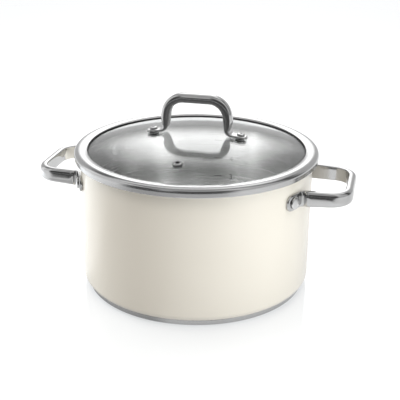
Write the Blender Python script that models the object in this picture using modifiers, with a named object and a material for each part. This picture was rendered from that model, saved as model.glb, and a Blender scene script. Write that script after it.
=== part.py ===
"""Stock pot with two side handles and a domed glass lid.

Run with: blender --background --python part.py

Metres, +Z up. The origin is the centre of the base, on the surface that the pot stands on.
+X runs through the side handles, and the lid's steam vent is on the -Y side.
"""

import math

import bmesh
import bpy
from mathutils import Matrix, Vector

PARTS = "stock_pot_with_glass_lid"
CUTTERS = "cutters"

# Facets of the turned shapes, and the clearance between neighbours.
ROUND_STEPS = 48
SMALL_STEPS = 16
GAP = 0.0003
THIN_GAP = 0.0002
MERGE = 0.00001
BORE_LENGTH = 0.020

# Pot body: a pressed steel shell.
POT_RADIUS = 0.1205
POT_WALL = 0.0010
POT_CORNER = 0.0070
POT_TOP = 0.1388
LIP_RADIUS = 0.1232
LIP_TURN = math.radians(75)

# Sandwich base: an aluminium core inside a steel cap.
CAP_SHEET = 0.0006
CAP_FOOT_RADIUS = 0.1146
CAP_RIM_RADIUS = 0.1164
CAP_RIM_TOP = 0.0054
CAP_CORNER = 0.0010
CORE_RADIUS = 0.1130
CORE_THICKNESS = 0.0040
CORE_CHAMFER = 0.0006

# Handle section: flat inner side with rounded edges, bulging outer side.
EDGE_ROUND = 0.0020
BULGE_FULLNESS = 0.68

# Where the sections of a tab lie, as shares of its length from the tip.
TAB_STATIONS = (0.0, 0.05, 0.14, 0.30, 0.52, 0.76)

# Rivet heads: the share of a head's height that is its straight edge.
HEAD_EDGE = 0.35

# Side handles: D-section bars whose flattened ends lie on the wall.
HANDLE_HEIGHT = 0.1148
HANDLE_BAR_X = 0.1566
HANDLE_FOOT_Y = 0.0390
HANDLE_TOP_Y = 0.0347
HANDLE_HALF_WIDTH = 0.0074
TAB_HALF_WIDTH = 0.0081
HANDLE_THICKNESS = 0.0080
HANDLE_SWELL = 0.0120
HANDLE_TAPER = 0.0450
HANDLE_CORNER = 0.0125
HANDLE_FOOT_BEND = 0.0075
TAB_THICKNESS = 0.0028
TAB_NOSE = 0.0012
TAB_TIP = math.radians(31.4)
RIVET_ANGLE = math.radians(26.6)
RIVET_SHANK = 0.0030
RIVET_HEAD = 0.0061
RIVET_HEAD_HEIGHT = 0.0024
RIVET_INNER_HEAD = 0.0074
RIVET_INNER_HEIGHT = 0.0030

# Lid glass: a spherical dome with a flat edge.
GLASS_TOP = 0.1600
GLASS_THICKNESS = 0.0034
GLASS_FLAT_TOP = 0.1439
GLASS_DOME_EDGE = 0.1100
GLASS_EASE_IN = 0.0040
GLASS_EASE_OUT = 0.0025
GLASS_EASE_RISE = 0.0013
GLASS_RADIUS = 0.1165
DOME_SAG = GLASS_TOP - GLASS_FLAT_TOP
DOME_RADIUS = (GLASS_DOME_EDGE**2 + DOME_SAG**2) / (2 * DOME_SAG)
DOME_CENTRE = GLASS_TOP - DOME_RADIUS

# Lid rim band: rolled steel sheet that clamps the glass and drops into the pot.
BAND_SHEET = 0.0005
BAND_LIP_RADIUS = 0.1128
BAND_LIP_TOP = 0.1454
BAND_CROWN_RADIUS = 0.1175
BAND_CROWN_TOP = 0.1465
BAND_RADIUS = 0.1261
BAND_WIDEST = 0.1425
BAND_ROLL = 0.0055
BAND_UNDERSIDE = POT_TOP + GAP
SKIRT_RADIUS = 0.1180
SKIRT_BEND = 0.0010
SKIRT_BOTTOM = 0.1310

# Silicone channel between the glass edge and the band.
GASKET_LIP_RADIUS = 0.1124
GASKET_LIP = 0.0006
GASKET_LOWER_RADIUS = 0.1140
GASKET_OUTER_RADIUS = 0.1190

# Lid handle, its rivets and its washers.
LID_BAR_UNDERSIDE = 0.1922
LID_FOOT_X = 0.0325
LID_TOP_X = 0.0262
LID_BAR_HALF_WIDTH = 0.0060
LID_FOOT_HALF_WIDTH = 0.0062
LID_BAR_THICKNESS = 0.0086
LID_SWELL = 0.0275
LID_TAB_THICKNESS = 0.0028
LID_CORNER = 0.0125
LID_FOOT_BEND = 0.0052
LID_TAB_TIP = 0.0524
LID_RIVET_X = 0.0457
LID_RIVET_SHANK = 0.0025
LID_RIVET_HEAD = 0.0044
LID_RIVET_HEAD_HEIGHT = 0.0020
LID_RIVET_DIMPLE = 0.0014
LID_RIVET_DIMPLE_DEPTH = 0.0009
LID_TAIL = 0.0042
LID_TAIL_HEIGHT = 0.0012
WASHER_BORE = 0.0029
WASHER_RADIUS = 0.0062
WASHER_THICKNESS = 0.0008
GLASS_HOLE = 0.0036

# Steam vent: a flanged tube set in the glass.
VENT_Y = 0.0785
VENT_BORE = 0.0022
VENT_BARREL = 0.0030
VENT_FLANGE = 0.0049
VENT_FLANGE_HEIGHT = 0.0013
VENT_GASKET_THICKNESS = 0.0006

# Colour, roughness and metallic value of each finish.
FINISHES = {
    "cream_enamel": ((0.84, 0.80, 0.72, 1.0), 0.22, 0.0),
    "satin_steel": ((0.62, 0.62, 0.61, 1.0), 0.32, 1.0),
    "polished_steel": ((0.75, 0.75, 0.75, 1.0), 0.12, 1.0),
    "aluminium": ((0.78, 0.79, 0.80, 1.0), 0.40, 1.0),
    "clear_glass": ((0.93, 0.96, 0.95, 1.0), 0.03, 0.0),
    "grey_silicone": ((0.08, 0.08, 0.08, 1.0), 0.55, 0.0),
}


def clear_scene():
    for obj in list(bpy.data.objects):
        bpy.data.objects.remove(obj)


def make_collection(name):
    collection = bpy.data.collections.new(name)
    bpy.context.scene.collection.children.link(collection)


def make_body(name):
    """An empty that carries one rigid body, with its origin on the axis that the lid lifts along."""
    empty = bpy.data.objects.new(name, None)
    bpy.data.collections[PARTS].objects.link(empty)
    return empty


def make_material(name):
    colour, roughness, metallic = FINISHES[name]
    material = bpy.data.materials.new(name)
    material.use_nodes = True
    shader = material.node_tree.nodes["Principled BSDF"]
    shader.inputs["Base Color"].default_value = colour
    shader.inputs["Roughness"].default_value = roughness
    shader.inputs["Metallic"].default_value = metallic
    material.diffuse_color = colour


def ellipse(centre, radii, start, end, count):
    """Points of an elliptical arc, from one angle to another in degrees, both ends included."""
    angles = [math.radians(start + (end - start) * i / (count - 1)) for i in range(count)]
    return [
        (centre[0] + radii[0] * math.cos(a), centre[1] + radii[1] * math.sin(a)) for a in angles
    ]


def arc(centre, radius, start, end, count):
    return ellipse(centre, (radius, radius), start, end, count)


def line_mesh(name, points, closed):
    """A mesh of edges through (radius, height) points in the XZ plane."""
    mesh = bpy.data.meshes.new(name)
    edges = [(i, i + 1) for i in range(len(points) - 1)]
    if closed:
        edges.append((len(points) - 1, 0))
    mesh.from_pydata([(r, 0.0, z) for r, z in points], edges, [])
    return mesh


def place(obj, body, finish, location=(0, 0, 0), rotation=(0, 0, 0)):
    obj.data.materials.append(bpy.data.materials[finish])
    obj.parent = body
    obj.location = location
    obj.rotation_euler = rotation
    bpy.data.collections[PARTS].objects.link(obj)
    return obj


def turned(name, profile, body, finish, steps=ROUND_STEPS, closed=False, **placing):
    """A solid of revolution. The profile runs down its outer side, top to bottom."""
    obj = bpy.data.objects.new(name, line_mesh(name, profile, closed))
    screw = obj.modifiers.new("Turn", "SCREW")
    screw.steps = steps
    screw.render_steps = steps
    screw.use_merge_vertices = not closed
    screw.merge_threshold = MERGE
    screw.use_smooth_shade = True
    return place(obj, body, finish, **placing)


def pressed(name, profile, thickness, body, finish):
    """A turned sheet whose outer surface is the profile. The thickness goes inward."""
    obj = turned(name, profile, body, finish)
    sheet = obj.modifiers.new("Sheet", "SOLIDIFY")
    sheet.thickness = thickness
    sheet.offset = -1
    sheet.use_even_offset = True
    return obj


def drill(obj, name, radius, location, rotation):
    """A round hole through the object, cut by a rod that stays in the scene as a helper."""
    mesh = bpy.data.meshes.new(name)
    shape = bmesh.new()
    bmesh.ops.create_cone(
        shape,
        cap_ends=True,
        segments=SMALL_STEPS,
        radius1=radius,
        radius2=radius,
        depth=BORE_LENGTH,
    )
    shape.to_mesh(mesh)
    shape.free()
    rod = bpy.data.objects.new(name, mesh)
    rod.location = location
    rod.rotation_euler = rotation
    rod.hide_render = True
    rod.display_type = "WIRE"
    bpy.data.collections[CUTTERS].objects.link(rod)
    hole = obj.modifiers.new("Hole", "BOOLEAN")
    hole.operation = "DIFFERENCE"
    hole.object = rod


def on_wall(angle, radius=POT_RADIUS):
    """Location and rotation that point an object's Z axis out of the wall at the handle's height."""
    location = (radius * math.cos(angle), radius * math.sin(angle), HANDLE_HEIGHT)
    return {"location": location, "rotation": (0, math.pi / 2, angle)}


def on_dome(azimuth, radius):
    """Location and rotation that stand an object on the outer surface of the glass."""
    tilt = math.asin(radius / DOME_RADIUS)
    height = DOME_CENTRE + DOME_RADIUS * math.cos(tilt)
    location = (radius * math.cos(azimuth), radius * math.sin(azimuth), height)
    return {"location": location, "rotation": (0, tilt, azimuth)}


def pot_profile():
    """Outer surface of the pot, from the tip of the lip to the middle of the bottom."""
    flare = (LIP_RADIUS - POT_RADIUS) / (1 - math.cos(LIP_TURN))
    turn = math.degrees(LIP_TURN)
    flare_height = POT_TOP - flare * math.sin(LIP_TURN) - POT_WALL * math.sin(LIP_TURN)
    bottom = CAP_SHEET + CORE_THICKNESS + 2 * GAP
    lip = arc((POT_RADIUS + flare, flare_height), flare, 180 - turn, 180, 5)
    corner = arc((POT_RADIUS - POT_CORNER, bottom + POT_CORNER), POT_CORNER, 0, -90, 6)
    middle = [(POT_RADIUS * 0.5, bottom), (0.0, bottom)]
    return lip + corner + middle


def cap_profile():
    corner_centre = (CAP_FOOT_RADIUS, CAP_CORNER)
    corner = arc(corner_centre, CAP_CORNER, -10, -90, 4)
    return [(CAP_RIM_RADIUS, CAP_RIM_TOP)] + corner + [(CAP_FOOT_RADIUS * 0.5, 0.0), (0.0, 0.0)]


def core_profile():
    bottom = CAP_SHEET + GAP
    top = bottom + CORE_THICKNESS
    return [
        (0.0, top),
        (CORE_RADIUS - CORE_CHAMFER, top),
        (CORE_RADIUS, top - CORE_CHAMFER),
        (CORE_RADIUS, bottom + CORE_CHAMFER),
        (CORE_RADIUS - CORE_CHAMFER, bottom),
        (0.0, bottom),
    ]


def glass_profile():
    """Outer surface of the glass, from its middle to its edge."""
    last = math.asin(GLASS_DOME_EDGE / DOME_RADIUS)
    dome = [(0.0, GLASS_TOP)]
    for step in range(1, 6):
        angle = last * step / 6
        dome.append((DOME_RADIUS * math.sin(angle), DOME_CENTRE + DOME_RADIUS * math.cos(angle)))
    for share in (0.0, 0.54, 1.0):
        radius = GLASS_DOME_EDGE - GLASS_EASE_IN + (GLASS_EASE_IN + GLASS_EASE_OUT) * share
        dome.append((radius, GLASS_FLAT_TOP + GLASS_EASE_RISE * (1 - share) ** 2))
    return dome + [(GLASS_RADIUS, GLASS_FLAT_TOP)]


def band_profile():
    """Outer surface of the rim band, from its inner lip round to the foot of the skirt."""
    rise = BAND_CROWN_TOP - BAND_LIP_TOP
    run = BAND_CROWN_RADIUS - BAND_LIP_RADIUS
    top = [
        (BAND_CROWN_RADIUS - run * x, BAND_CROWN_TOP - rise * x * x) for x in (1.0, 0.55)
    ]
    upper_radii = (BAND_RADIUS - BAND_CROWN_RADIUS, BAND_CROWN_TOP - BAND_WIDEST)
    shoulder = ellipse((BAND_CROWN_RADIUS, BAND_WIDEST), upper_radii, 90, 0, 6)
    roll_centre = (BAND_RADIUS - BAND_ROLL, BAND_WIDEST)
    roll_radii = (BAND_ROLL, BAND_WIDEST - BAND_UNDERSIDE)
    roll = ellipse(roll_centre, roll_radii, -30, -90, 3)
    bend_centre = (SKIRT_RADIUS + SKIRT_BEND, BAND_UNDERSIDE - SKIRT_BEND)
    bend = arc(bend_centre, SKIRT_BEND, 90, 180, 3)
    return top + shoulder + roll + bend + [(SKIRT_RADIUS, SKIRT_BOTTOM)]


def gasket_profile():
    """Closed outline of a channel that opens towards the axis and holds the glass edge."""
    glass_bottom = GLASS_FLAT_TOP - GLASS_THICKNESS
    lip_bottom = GLASS_FLAT_TOP + THIN_GAP
    lip_top = lip_bottom + GASKET_LIP
    lower_top = glass_bottom - THIN_GAP
    lower_bottom = BAND_UNDERSIDE + BAND_SHEET + THIN_GAP
    groove = GLASS_RADIUS + GAP
    return [
        (GASKET_LIP_RADIUS, lip_top),
        (GASKET_OUTER_RADIUS, lip_top),
        (GASKET_OUTER_RADIUS, lower_bottom),
        (GASKET_LOWER_RADIUS, lower_bottom),
        (GASKET_LOWER_RADIUS, lower_top),
        (groove, lower_top),
        (groove, lip_bottom),
        (GASKET_LIP_RADIUS, lip_bottom),
    ]


def dome_head(base, height, radius, shank):
    """Outline of a domed rivet head, from its apex to the shank under it."""
    edge = height * HEAD_EDGE
    crown = ellipse((0.0, base + edge), (radius, height - edge), 90, 0, 5)
    return crown + [(radius, base), (shank, base)]


def wall_rivet_profile():
    """Rivet along Z, where zero is the wall's outer surface: head, shank and inner head."""
    outer_base = GAP + TAB_THICKNESS + GAP
    inner_base = -POT_WALL - 2 * GAP
    inner = dome_head(-inner_base, RIVET_INNER_HEIGHT, RIVET_INNER_HEAD, RIVET_SHANK)
    mirrored = [(r, -z) for r, z in reversed(inner)]
    return dome_head(outer_base, RIVET_HEAD_HEIGHT, RIVET_HEAD, RIVET_SHANK) + mirrored


def lid_foot_height():
    """Height of a foot's contact face over the glass: one washer with a gap on each side."""
    return GAP + WASHER_THICKNESS + GAP


def lid_rivet_profile():
    """Rivet along Z, where zero is the glass's outer surface, with a dimple in its head."""
    base = lid_foot_height() + LID_TAB_THICKNESS + GAP
    apex = base + LID_RIVET_HEAD_HEIGHT
    tail = -(GLASS_THICKNESS + 2 * (GAP + WASHER_THICKNESS) + GAP)
    edge = LID_RIVET_HEAD_HEIGHT * HEAD_EDGE
    crown = ellipse(
        (LID_RIVET_DIMPLE, base + edge),
        (LID_RIVET_HEAD - LID_RIVET_DIMPLE, LID_RIVET_HEAD_HEIGHT - edge),
        90,
        0,
        5,
    )
    dimple_floor = apex - LID_RIVET_DIMPLE_DEPTH
    dimple = [(0.0, dimple_floor), (LID_RIVET_DIMPLE * 0.75, dimple_floor)]
    return dimple + crown + [
        (LID_RIVET_HEAD, base),
        (LID_RIVET_SHANK, base),
        (LID_RIVET_SHANK, tail),
        (LID_TAIL, tail),
        (LID_TAIL * 0.9, tail - LID_TAIL_HEIGHT * 0.6),
        (LID_TAIL * 0.5, tail - LID_TAIL_HEIGHT),
        (0.0, tail - LID_TAIL_HEIGHT),
    ]


def ring_profile(bottom, thickness, bore, radius):
    top = bottom + thickness
    return [(bore, top), (radius, top), (radius, bottom), (bore, bottom)]


def vent_profile():
    """Closed outline of the vent's flanged tube, where zero is the glass's outer surface."""
    seat = 2 * GAP + VENT_GASKET_THICKNESS
    under = -GLASS_THICKNESS - GAP
    crown_centre = ((VENT_BORE + VENT_FLANGE) / 2, seat + VENT_FLANGE_HEIGHT * 0.3)
    crown_radii = ((VENT_FLANGE - VENT_BORE) / 2, VENT_FLANGE_HEIGHT * 0.7)
    crown = ellipse(crown_centre, crown_radii, 180, 0, 7)
    return crown + [
        (VENT_FLANGE, seat),
        (VENT_BARREL, seat),
        (VENT_BARREL, under),
        (VENT_FLANGE * 0.94, under),
        (VENT_FLANGE * 0.85, under - VENT_FLANGE_HEIGHT * 0.6),
        (VENT_BORE, under - VENT_FLANGE_HEIGHT * 0.8),
    ]


def fillet(before, corner, after, radius, count):
    """Points of the arc that rounds a corner, from the first leg to the second."""
    first = (before - corner).normalized()
    second = (after - corner).normalized()
    half = first.angle(second) / 2
    reach = radius / math.tan(half)
    centre = corner + (first + second).normalized() * (radius / math.sin(half))
    start = corner + first * reach - centre
    end = corner + second * reach - centre
    turn = start.angle(end)
    points = []
    for i in range(count):
        share = i / (count - 1)
        points.append(
            centre
            + (start * math.sin((1 - share) * turn) + end * math.sin(share * turn)) / math.sin(turn)
        )
    return points


def half_loop(seat_centre, seat_radius, tip_side, foot_side, top_side, bar, foot_bend, corner):
    """Inner line of half a handle, as (out, side) points from the tab's tip to the bar's middle.

    The tab lies on a circle about (seat_centre, 0), so the same line fits the wall and the dome.
    """

    def on_seat(side):
        return Vector((seat_centre + math.sqrt(seat_radius**2 - side**2), side))

    foot = on_seat(foot_side)
    top = Vector((bar, top_side))
    tangent = Vector((-foot_side, foot.x - seat_centre)).normalized()
    bend = fillet(foot + tangent, foot, top, foot_bend, 5)
    tab_end = bend[0].y
    tab_width = tip_side - tab_end
    tab = [on_seat(tip_side - tab_width * share) for share in TAB_STATIONS]
    return tab + bend + fillet(foot, top, Vector((bar, 0.0)), corner, 7) + [Vector((bar, 0.0))]


def section(thickness, half_width):
    """D-shaped outline with a rounded edge on its flat side, as (depth, width) points."""
    edge = min(EDGE_ROUND, thickness * 0.25)
    bulge = [(edge, half_width)]
    for degrees in (60, 36, 12, -12, -36, -60):
        angle = math.radians(degrees)
        depth = edge + (thickness - edge) * math.cos(angle) ** BULGE_FULLNESS
        rise = math.copysign(abs(math.sin(angle)) ** BULGE_FULLNESS, angle)
        bulge.append((depth, half_width * rise))
    bulge.append((edge, -half_width))
    softened = half_width - edge * 0.3
    flat = half_width - edge
    start = [(edge * 0.3, -softened), (0.0, -flat), (0.0, flat), (edge * 0.3, softened)]
    return start + bulge


def ease(value, start, end):
    share = min(max((value - start) / (end - start), 0.0), 1.0)
    return share * share * (3 - 2 * share)


def strip_handle(name, line, widths, thicknesses, swells, body, location, rotation):
    """A handle swept along its inner line, mirrored about the plane through the bar's middle.

    widths and thicknesses are the half widths and thicknesses of the tab and the bar, and swells
    are the lengths over which the half width and the thickness grow from one to the other.
    """
    lengths = [0.0]
    for before, after in zip(line, line[1:]):
        lengths.append(lengths[-1] + (after - before).length)
    bend_start = lengths[len(TAB_STATIONS)]
    shape = bmesh.new()
    rings = []
    for i, point in enumerate(line):
        before = line[max(i - 1, 0)]
        after = line[min(i + 1, len(line) - 1)]
        heading = (after - before).normalized()
        if i == len(line) - 1:
            heading = Vector((0.0, -1.0))
        outward = Vector((-heading.y, heading.x))
        widened = ease(lengths[i], bend_start, bend_start + swells[0])
        thickened = ease(lengths[i], bend_start, bend_start + swells[1])
        half_width = widths[0] + (widths[1] - widths[0]) * widened
        thickness = thicknesses[0] + (thicknesses[1] - thicknesses[0]) * thickened
        inset = max(half_width - lengths[i] - TAB_NOSE, 0.0)
        half_width = math.sqrt(half_width**2 - inset**2)
        ring = []
        for depth, width in section(thickness, half_width):
            spot = point + outward * depth
            ring.append(shape.verts.new((spot.x, spot.y, width)))
        rings.append(ring)
    for first, second in zip(rings, rings[1:]):
        for i in range(len(first)):
            j = (i + 1) % len(first)
            shape.faces.new((first[i], first[j], second[j], second[i]))
    shape.faces.new(list(reversed(rings[0])))
    bmesh.ops.recalc_face_normals(shape, faces=shape.faces)
    mesh = bpy.data.meshes.new(name)
    shape.to_mesh(mesh)
    shape.free()
    mesh.shade_smooth()
    mesh.set_sharp_from_angle(angle=math.radians(40))
    obj = bpy.data.objects.new(name, mesh)
    mirror = obj.modifiers.new("Other half", "MIRROR")
    mirror.use_axis = (False, True, False)
    mirror.merge_threshold = MERGE
    return place(obj, body, "polished_steel", location, rotation)


def build_pot():
    pot = make_body("pot")
    shell = pressed("pot_body", pot_profile(), POT_WALL, pot, "cream_enamel")
    pressed("base_cap", cap_profile(), CAP_SHEET, pot, "satin_steel")
    turned("base_core", core_profile(), pot, "aluminium")
    line = half_loop(
        seat_centre=0.0,
        seat_radius=POT_RADIUS + GAP,
        tip_side=POT_RADIUS * math.sin(TAB_TIP),
        foot_side=HANDLE_FOOT_Y,
        top_side=HANDLE_TOP_Y,
        bar=HANDLE_BAR_X,
        foot_bend=HANDLE_FOOT_BEND,
        corner=HANDLE_CORNER,
    )
    for side, turn in (("right", 0.0), ("left", math.pi)):
        handle = strip_handle(
            f"{side}_handle",
            line,
            (TAB_HALF_WIDTH, HANDLE_HALF_WIDTH),
            (TAB_THICKNESS, HANDLE_THICKNESS),
            (HANDLE_TAPER, HANDLE_SWELL),
            pot,
            (0, 0, HANDLE_HEIGHT),
            (0, 0, turn),
        )
        for end, front in (("front", -1), ("rear", 1)):
            angle = turn + front * RIVET_ANGLE * math.copysign(1, math.cos(turn))
            name = f"rivet_{side}_{end}"
            seat = on_wall(angle)
            drill(handle, f"bore_{side}_handle_{end}", RIVET_SHANK + GAP, **seat)
            drill(shell, f"bore_pot_body_{side}_{end}", RIVET_SHANK + GAP, **seat)
            turned(name, wall_rivet_profile(), pot, "polished_steel", SMALL_STEPS, **seat)


def build_lid_handle(lid, glass):
    line = half_loop(
        seat_centre=DOME_CENTRE,
        seat_radius=DOME_RADIUS + lid_foot_height(),
        tip_side=LID_TAB_TIP,
        foot_side=LID_FOOT_X,
        top_side=LID_TOP_X,
        bar=LID_BAR_UNDERSIDE,
        foot_bend=LID_FOOT_BEND,
        corner=LID_CORNER,
    )
    upright = Matrix(((0, 1, 0), (0, 0, 1), (1, 0, 0))).to_euler()
    handle = strip_handle(
        "lid_handle",
        line,
        (LID_FOOT_HALF_WIDTH, LID_BAR_HALF_WIDTH),
        (LID_TAB_THICKNESS, LID_BAR_THICKNESS),
        (LID_SWELL, LID_SWELL),
        lid,
        (0, 0, 0),
        upright,
    )
    step = WASHER_THICKNESS + GAP
    washers = (
        ("lid_washer_upper", GAP, "grey_silicone"),
        ("lid_washer_lower", -GLASS_THICKNESS - step, "grey_silicone"),
        ("lid_washer_steel", -GLASS_THICKNESS - 2 * step, "satin_steel"),
    )
    for side, azimuth in (("right", 0.0), ("left", math.pi)):
        seat = on_dome(azimuth, LID_RIVET_X)
        drill(handle, f"bore_lid_handle_{side}", WASHER_BORE, **seat)
        drill(glass, f"bore_lid_glass_{side}", GLASS_HOLE, **seat)
        rivet = f"lid_rivet_{side}"
        turned(rivet, lid_rivet_profile(), lid, "polished_steel", SMALL_STEPS, **seat)
        for name, bottom, finish in washers:
            ring = ring_profile(bottom, WASHER_THICKNESS, WASHER_BORE, WASHER_RADIUS)
            turned(f"{name}_{side}", ring, lid, finish, SMALL_STEPS, closed=True, **seat)


def build_vent(lid, glass):
    seat = on_dome(-math.pi / 2, VENT_Y)
    drill(glass, "bore_vent", GLASS_HOLE, **seat)
    eyelet = vent_profile()
    turned("vent_eyelet", eyelet, lid, "polished_steel", SMALL_STEPS, closed=True, **seat)
    ring = ring_profile(GAP, VENT_GASKET_THICKNESS, VENT_BARREL + GAP, VENT_FLANGE + GAP)
    turned("vent_gasket", ring, lid, "grey_silicone", SMALL_STEPS, closed=True, **seat)


def build_lid():
    lid = make_body("lid")
    glass = pressed("lid_glass", glass_profile(), GLASS_THICKNESS, lid, "clear_glass")
    pressed("lid_rim_band", band_profile(), BAND_SHEET, lid, "polished_steel")
    turned("lid_rim_gasket", gasket_profile(), lid, "grey_silicone", closed=True)
    build_lid_handle(lid, glass)
    build_vent(lid, glass)


clear_scene()
make_collection(PARTS)
make_collection(CUTTERS)
for finish_name in FINISHES:
    make_material(finish_name)
build_pot()
build_lid()
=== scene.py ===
"""Looks for the stock pot with a glass lid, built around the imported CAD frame.

Metres, +Z up. The pot stands on z = 0 with its axis on Z, and its side handles lie along X.
A finer mesh of about the same size stands for every CAD node except the base core, which is closed in
and only gets a finish. The enamel coat and the litre scale are pieces that only the looks have.
"""

import math

import bmesh
import bpy
from mathutils import Matrix, Vector


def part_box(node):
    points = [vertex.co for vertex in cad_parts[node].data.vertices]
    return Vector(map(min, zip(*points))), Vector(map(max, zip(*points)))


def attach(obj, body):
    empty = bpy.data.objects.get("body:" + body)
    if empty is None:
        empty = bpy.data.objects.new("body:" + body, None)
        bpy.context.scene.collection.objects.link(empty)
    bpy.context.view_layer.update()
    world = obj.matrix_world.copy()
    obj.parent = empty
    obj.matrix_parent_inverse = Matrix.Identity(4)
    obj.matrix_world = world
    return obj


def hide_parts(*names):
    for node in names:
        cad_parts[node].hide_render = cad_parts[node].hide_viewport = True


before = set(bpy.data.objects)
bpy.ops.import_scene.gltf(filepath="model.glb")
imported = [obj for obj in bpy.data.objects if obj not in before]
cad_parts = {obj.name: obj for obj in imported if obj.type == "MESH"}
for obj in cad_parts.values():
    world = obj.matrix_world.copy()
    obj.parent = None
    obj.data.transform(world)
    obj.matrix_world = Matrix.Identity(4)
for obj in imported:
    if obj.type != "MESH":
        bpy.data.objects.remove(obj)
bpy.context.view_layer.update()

# Facets of the turned pieces, the reach of the points that keep long runs flat, the radius within
# which a point lies on the axis, the sharpest mitre, and the angle from which an edge is sharp.
ROUND_STEPS = 192
SMALL_STEPS = 64
SUPPORT = 0.0004
ON_AXIS = 1e-9
MITRE_LIMIT = 0.5
SHARP = math.radians(38)

# Air between neighbouring pieces.
GAP = 0.0003
THIN_GAP = 0.0002

# Pot shell and its enamel coat, which starts below the lip and ends on the lower corner. The steel is
# bare inside and on the lip.
WALL_RADIUS = 0.1205
WALL = 0.0010
COAT = 0.0003
COAT_GAP = 0.00002
CORNER = 0.0070
LIP_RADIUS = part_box("pot_body")[1].x
LIP_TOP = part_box("pot_body")[1].z
SHELL_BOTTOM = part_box("pot_body")[0].z
LIP_TURN = math.radians(75)
COAT_START = math.radians(46)
COAT_END = 70

# Base cap, with turned rings on its underside.
CAP_RIM_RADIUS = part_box("base_cap")[1].x
CAP_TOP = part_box("base_cap")[1].z
CAP_FOOT_RADIUS = 0.1146
CAP_CORNER = 0.0010
CAP_SHEET = 0.0006
CAP_RINGS = 7
CAP_RING_DEPTH = 0.00018
CAP_RING_SPREAD = 3

# Swept handles. Each section is half a superellipse over a flat side, and its fullness is the
# exponent: the lower it is, the flatter the face. The tabs thin out and narrow towards their tips.
SECTION_STEPS = 32
EDGE_STEPS = 6
EDGE_LIMIT = 0.3
TAB_STEPS = 22
TAB_NOSE_POWER = 2.4
TAB_LEAST_WIDTH = 0.16
TAB_LEAST_THICKNESS = 0.12
TAB_EDGE_REACH = 0.6
SWELL_LEAD = 0.002
HANDLE_SHARP = math.radians(60)

# Share of a rivet head's height that its edge takes.
HEAD_EDGE = 0.35

# Side handles, their rivets and where they stand. A pair has the tab's value and then the bar's.
HANDLE_LOW, HANDLE_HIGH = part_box("right_handle")
HANDLE_HEIGHT = (HANDLE_LOW.z + HANDLE_HIGH.z) / 2
HANDLE_THICKNESS = 0.0080
HANDLE_BAR = HANDLE_HIGH.x - HANDLE_THICKNESS
HANDLE_HALF_WIDTH = 0.0074
TAB_HALF_WIDTH = HANDLE_HIGH.z - HANDLE_HEIGHT
TAB_THICKNESS = 0.0028
HANDLE_SWELL = 0.0120
HANDLE_TAPER = 0.0450
HANDLE_FOOT = 0.0390
HANDLE_TOP = 0.0347
HANDLE_CORNER = 0.0165
HANDLE_BEND = 0.0075
HANDLE_FULLNESS = (0.45, 0.57)
HANDLE_EDGE = 0.0016
TAB_TIP = math.radians(31.4)
RIVET_ANGLE = math.radians(26.6)
RIVET_SHANK = 0.0030
RIVET_HEAD = 0.0061
RIVET_HEAD_HEIGHT = 0.0024
RIVET_INNER_HEAD = 0.0074
RIVET_INNER_HEIGHT = 0.0030

# Lid glass: a spherical dome that eases into a flat edge.
DOME_STEPS = 40
EASE_STEPS = 10
GLASS_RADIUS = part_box("lid_glass")[1].x
GLASS_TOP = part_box("lid_glass")[1].z
GLASS_THICKNESS = 0.0034
GLASS_FLAT = 0.1439
GLASS_DOME_EDGE = 0.1128
GLASS_EASE = 0.0005
GLASS_EDGE_ROUND = 0.0008
DOME_SAG = GLASS_TOP - GLASS_FLAT
DOME_RADIUS = (GLASS_DOME_EDGE**2 + DOME_SAG**2) / (2 * DOME_SAG)
DOME_CENTRE = GLASS_TOP - DOME_RADIUS
GLASS_HOLE = 0.0036

# Rim band, whose rolled hem hangs a little over the pot's lip, and the silicone channel inside it.
BAND_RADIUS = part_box("lid_rim_band")[1].x
BAND_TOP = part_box("lid_rim_band")[1].z
SKIRT_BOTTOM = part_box("lid_rim_band")[0].z
BAND_SHEET = 0.0005
BAND_LIP_RADIUS = 0.1128
BAND_LIP_DROP = 0.0011
BAND_CROWN_RADIUS = 0.1185
BAND_WIDEST = BAND_TOP - 0.0048
BAND_ROLL = 0.00075
BAND_EDGE = LIP_TOP - 0.0017
BAND_LEAN = 0.0002
BAND_FULLNESS = 0.85
BAND_UNDERSIDE = LIP_TOP + GAP
SKIRT_RADIUS = 0.1180
SKIRT_BEND = 0.0010
GASKET_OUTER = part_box("lid_rim_gasket")[1].x
GASKET_INNER = 0.1124
GASKET_LOWER = 0.1140
GASKET_LIP = 0.0006
GASKET_BEVEL = 0.0001
BEAD_GAP = 0.00006
BEAD_DROP = 0.00005

# Lid handle, rivets and washers. The bar is a little thicker than the CAD's, upwards.
LID_HANDLE_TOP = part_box("lid_handle")[1].z
LID_BAR_THICKNESS = 0.0092
LID_BAR_RISE = 0.0006
LID_BAR = LID_HANDLE_TOP + LID_BAR_RISE - LID_BAR_THICKNESS
LID_TAB_THICKNESS = 0.0025
LID_BAR_HALF_WIDTH = 0.0060
LID_FOOT_HALF_WIDTH = 0.0068
LID_SWELL = 0.0200
LID_FOOT = 0.0302
LID_TOP = 0.0262
LID_CORNER = 0.0148
LID_BEND = 0.0080
LID_FULLNESS = (0.45, 0.64)
LID_EDGE = 0.0014
LID_TAB_TIP = 0.0530
LID_RIVET_X = 0.0457
LID_RIVET_SHANK = 0.0025
LID_RIVET_HEAD = 0.0042
LID_RIVET_HEAD_HEIGHT = 0.0014
LID_RIVET_DIMPLE = 0.0014
LID_RIVET_DIMPLE_DEPTH = 0.0007
LID_TAIL = 0.0042
LID_TAIL_HEIGHT = 0.0012
WASHER_BORE = 0.0029
WASHER_RADIUS = 0.0052
WASHER_THICKNESS = 0.0008
WASHER_SOFTNESS = 0.0002

# Steam vent.
VENT_Y = 0.0785
VENT_BORE = 0.0022
VENT_BARREL = 0.0030
VENT_FLANGE = 0.0049
VENT_FLANGE_HEIGHT = 0.0013
VENT_GASKET_THICKNESS = 0.0006

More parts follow.
